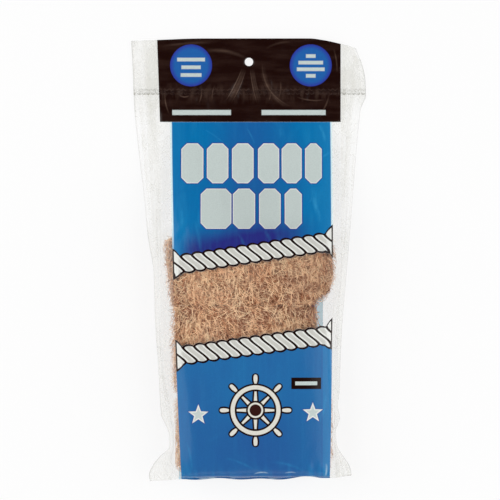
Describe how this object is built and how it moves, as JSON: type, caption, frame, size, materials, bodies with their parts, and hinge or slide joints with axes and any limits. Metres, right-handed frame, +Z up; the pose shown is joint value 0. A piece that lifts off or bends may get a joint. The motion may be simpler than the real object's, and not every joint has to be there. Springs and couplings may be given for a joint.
{
  "type": "bag of bronze wool pads",
  "caption": "Flat clear film bag with a printed front, a crimped seal and a punched hang hole in its header, holding folded pads of fine bronze wool in a row.",
  "frame": {"origin": "centre of the part's box, on the ground under its back", "axes": "+X across the bag to the right of its printed front, +Y along the bag towards the header, +Z up out of the printed front"},
  "size_m": [0.175, 0.3322, 0.033],
  "materials": {
    "film": "thin glossy clear film, printed blue and near-black on the front with a clear window and clear side margins",
    "wool": "fine matted bronze shavings, bright where single strands catch the light"
  },
  "bodies": {
    "root": {"bag": "film", "pad_lower": "wool", "pad_middle": "wool", "pad_upper": "wool"}
  },
  "joints": []
}
